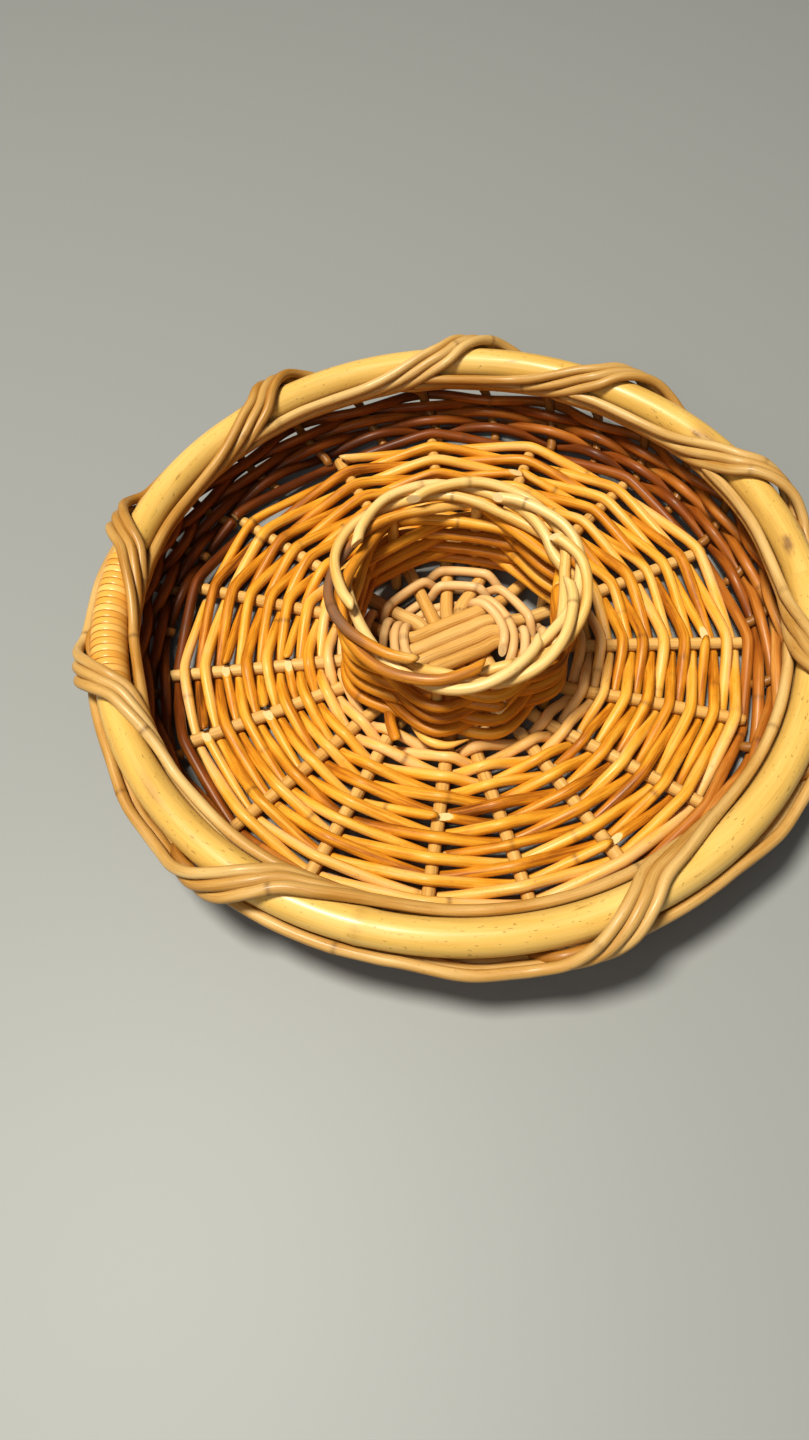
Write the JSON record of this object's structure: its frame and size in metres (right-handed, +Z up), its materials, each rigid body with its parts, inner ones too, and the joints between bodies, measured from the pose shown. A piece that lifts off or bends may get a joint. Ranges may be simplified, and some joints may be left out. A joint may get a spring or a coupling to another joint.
{
  "type": "woven serving tray",
  "caption": "Round rattan tray: a woven floor, a low wall lashed to a bent pole rim with groups of rods, and a small open dip cup woven into the middle.",
  "frame": {"origin": "centre of the tray's footprint, on the surface it stands on", "axes": "+Z up; +Y away from the viewer, +X to the viewer's right; the cane binding over the pole's joint is at -X"},
  "size_m": [0.423, 0.4212, 0.0791],
  "materials": {
    "pole_rattan": "glossy natural skin, pale yellow, fine scratches and a few node scars",
    "flat_cane": "satin peeled cane, tan",
    "lashing_rattan": "satin skin, pale tan to honey",
    "spoke_rattan": "matte stripped core with long grain lines",
    "binder_rattan": "matte pale pinkish",
    "floor_rattan": "glossy skin, honey to orange",
    "cup_rattan": "glossy skin, honey to orange",
    "border_rattan": "satin pale yellow with one dark rod",
    "dark_rattan": "glossy dark red-brown"
  },
  "bodies": {
    "root": {"base_rod_upper_1": "spoke_rattan", "base_rod_upper_2": "spoke_rattan", "base_rod_upper_3": "spoke_rattan", "base_rod_upper_4": "spoke_rattan", "base_rod_lower_1": "spoke_rattan", "base_rod_lower_2": "spoke_rattan", "base_rod_lower_3": "spoke_rattan", "base_rod_lower_4": "spoke_rattan", "base_spoke_inserted": "spoke_rattan", "base_cross_binding": "binder_rattan", "cup_floor_weaver": "binder_rattan", "floor_weaver_inner": "floor_rattan", "floor_weaver_middle": "floor_rattan", "floor_weaver_outer": "floor_rattan", "cup_stake_1": "border_rattan", "cup_stake_2": "border_rattan", "cup_stake_3": "border_rattan", "cup_stake_4": "border_rattan", "cup_stake_5": "border_rattan", "cup_stake_6": "border_rattan", "cup_stake_7": "border_rattan", "cup_stake_8": "border_rattan", "cup_stake_9": "border_rattan", "cup_weaver_lower": "cup_rattan", "cup_weaver_upper": "cup_rattan", "rim_pole": "pole_rattan", "rim_binding": "flat_cane", "lashing_1_rod_1": "lashing_rattan", "lashing_1_rod_2": "lashing_rattan", "lashing_1_rod_3": "lashing_rattan", "lashing_2_rod_1": "lashing_rattan", "lashing_2_rod_2": "lashing_rattan", "lashing_2_rod_3": "lashing_rattan", "lashing_3_rod_1": "lashing_rattan", "lashing_3_rod_2": "lashing_rattan", "lashing_3_rod_3": "lashing_rattan", "lashing_4_rod_1": "lashing_rattan", "lashing_4_rod_2": "lashing_rattan", "lashing_4_rod_3": "lashing_rattan", "lashing_5_rod_1": "lashing_rattan", "lashing_5_rod_2": "lashing_rattan", "lashing_5_rod_3": "lashing_rattan", "lashing_6_rod_1": "lashing_rattan", "lashing_6_rod_2": "lashing_rattan", "lashing_6_rod_3": "lashing_rattan", "lashing_7_rod_1": "lashing_rattan", "lashing_7_rod_2": "lashing_rattan", "lashing_7_rod_3": "lashing_rattan", "lashing_8_rod_1": "lashing_rattan", "lashing_8_rod_2": "lashing_rattan", "lashing_8_rod_3": "lashing_rattan", "lashing_9_rod_1": "lashing_rattan", "lashing_9_rod_2": "lashing_rattan", "lashing_9_rod_3": "lashing_rattan", "wall_weaver_1": "dark_rattan", "wall_weaver_2": "dark_rattan", "wall_weaver_3": "dark_rattan", "wall_weaver_4": "dark_rattan"}
  },
  "joints": []
}
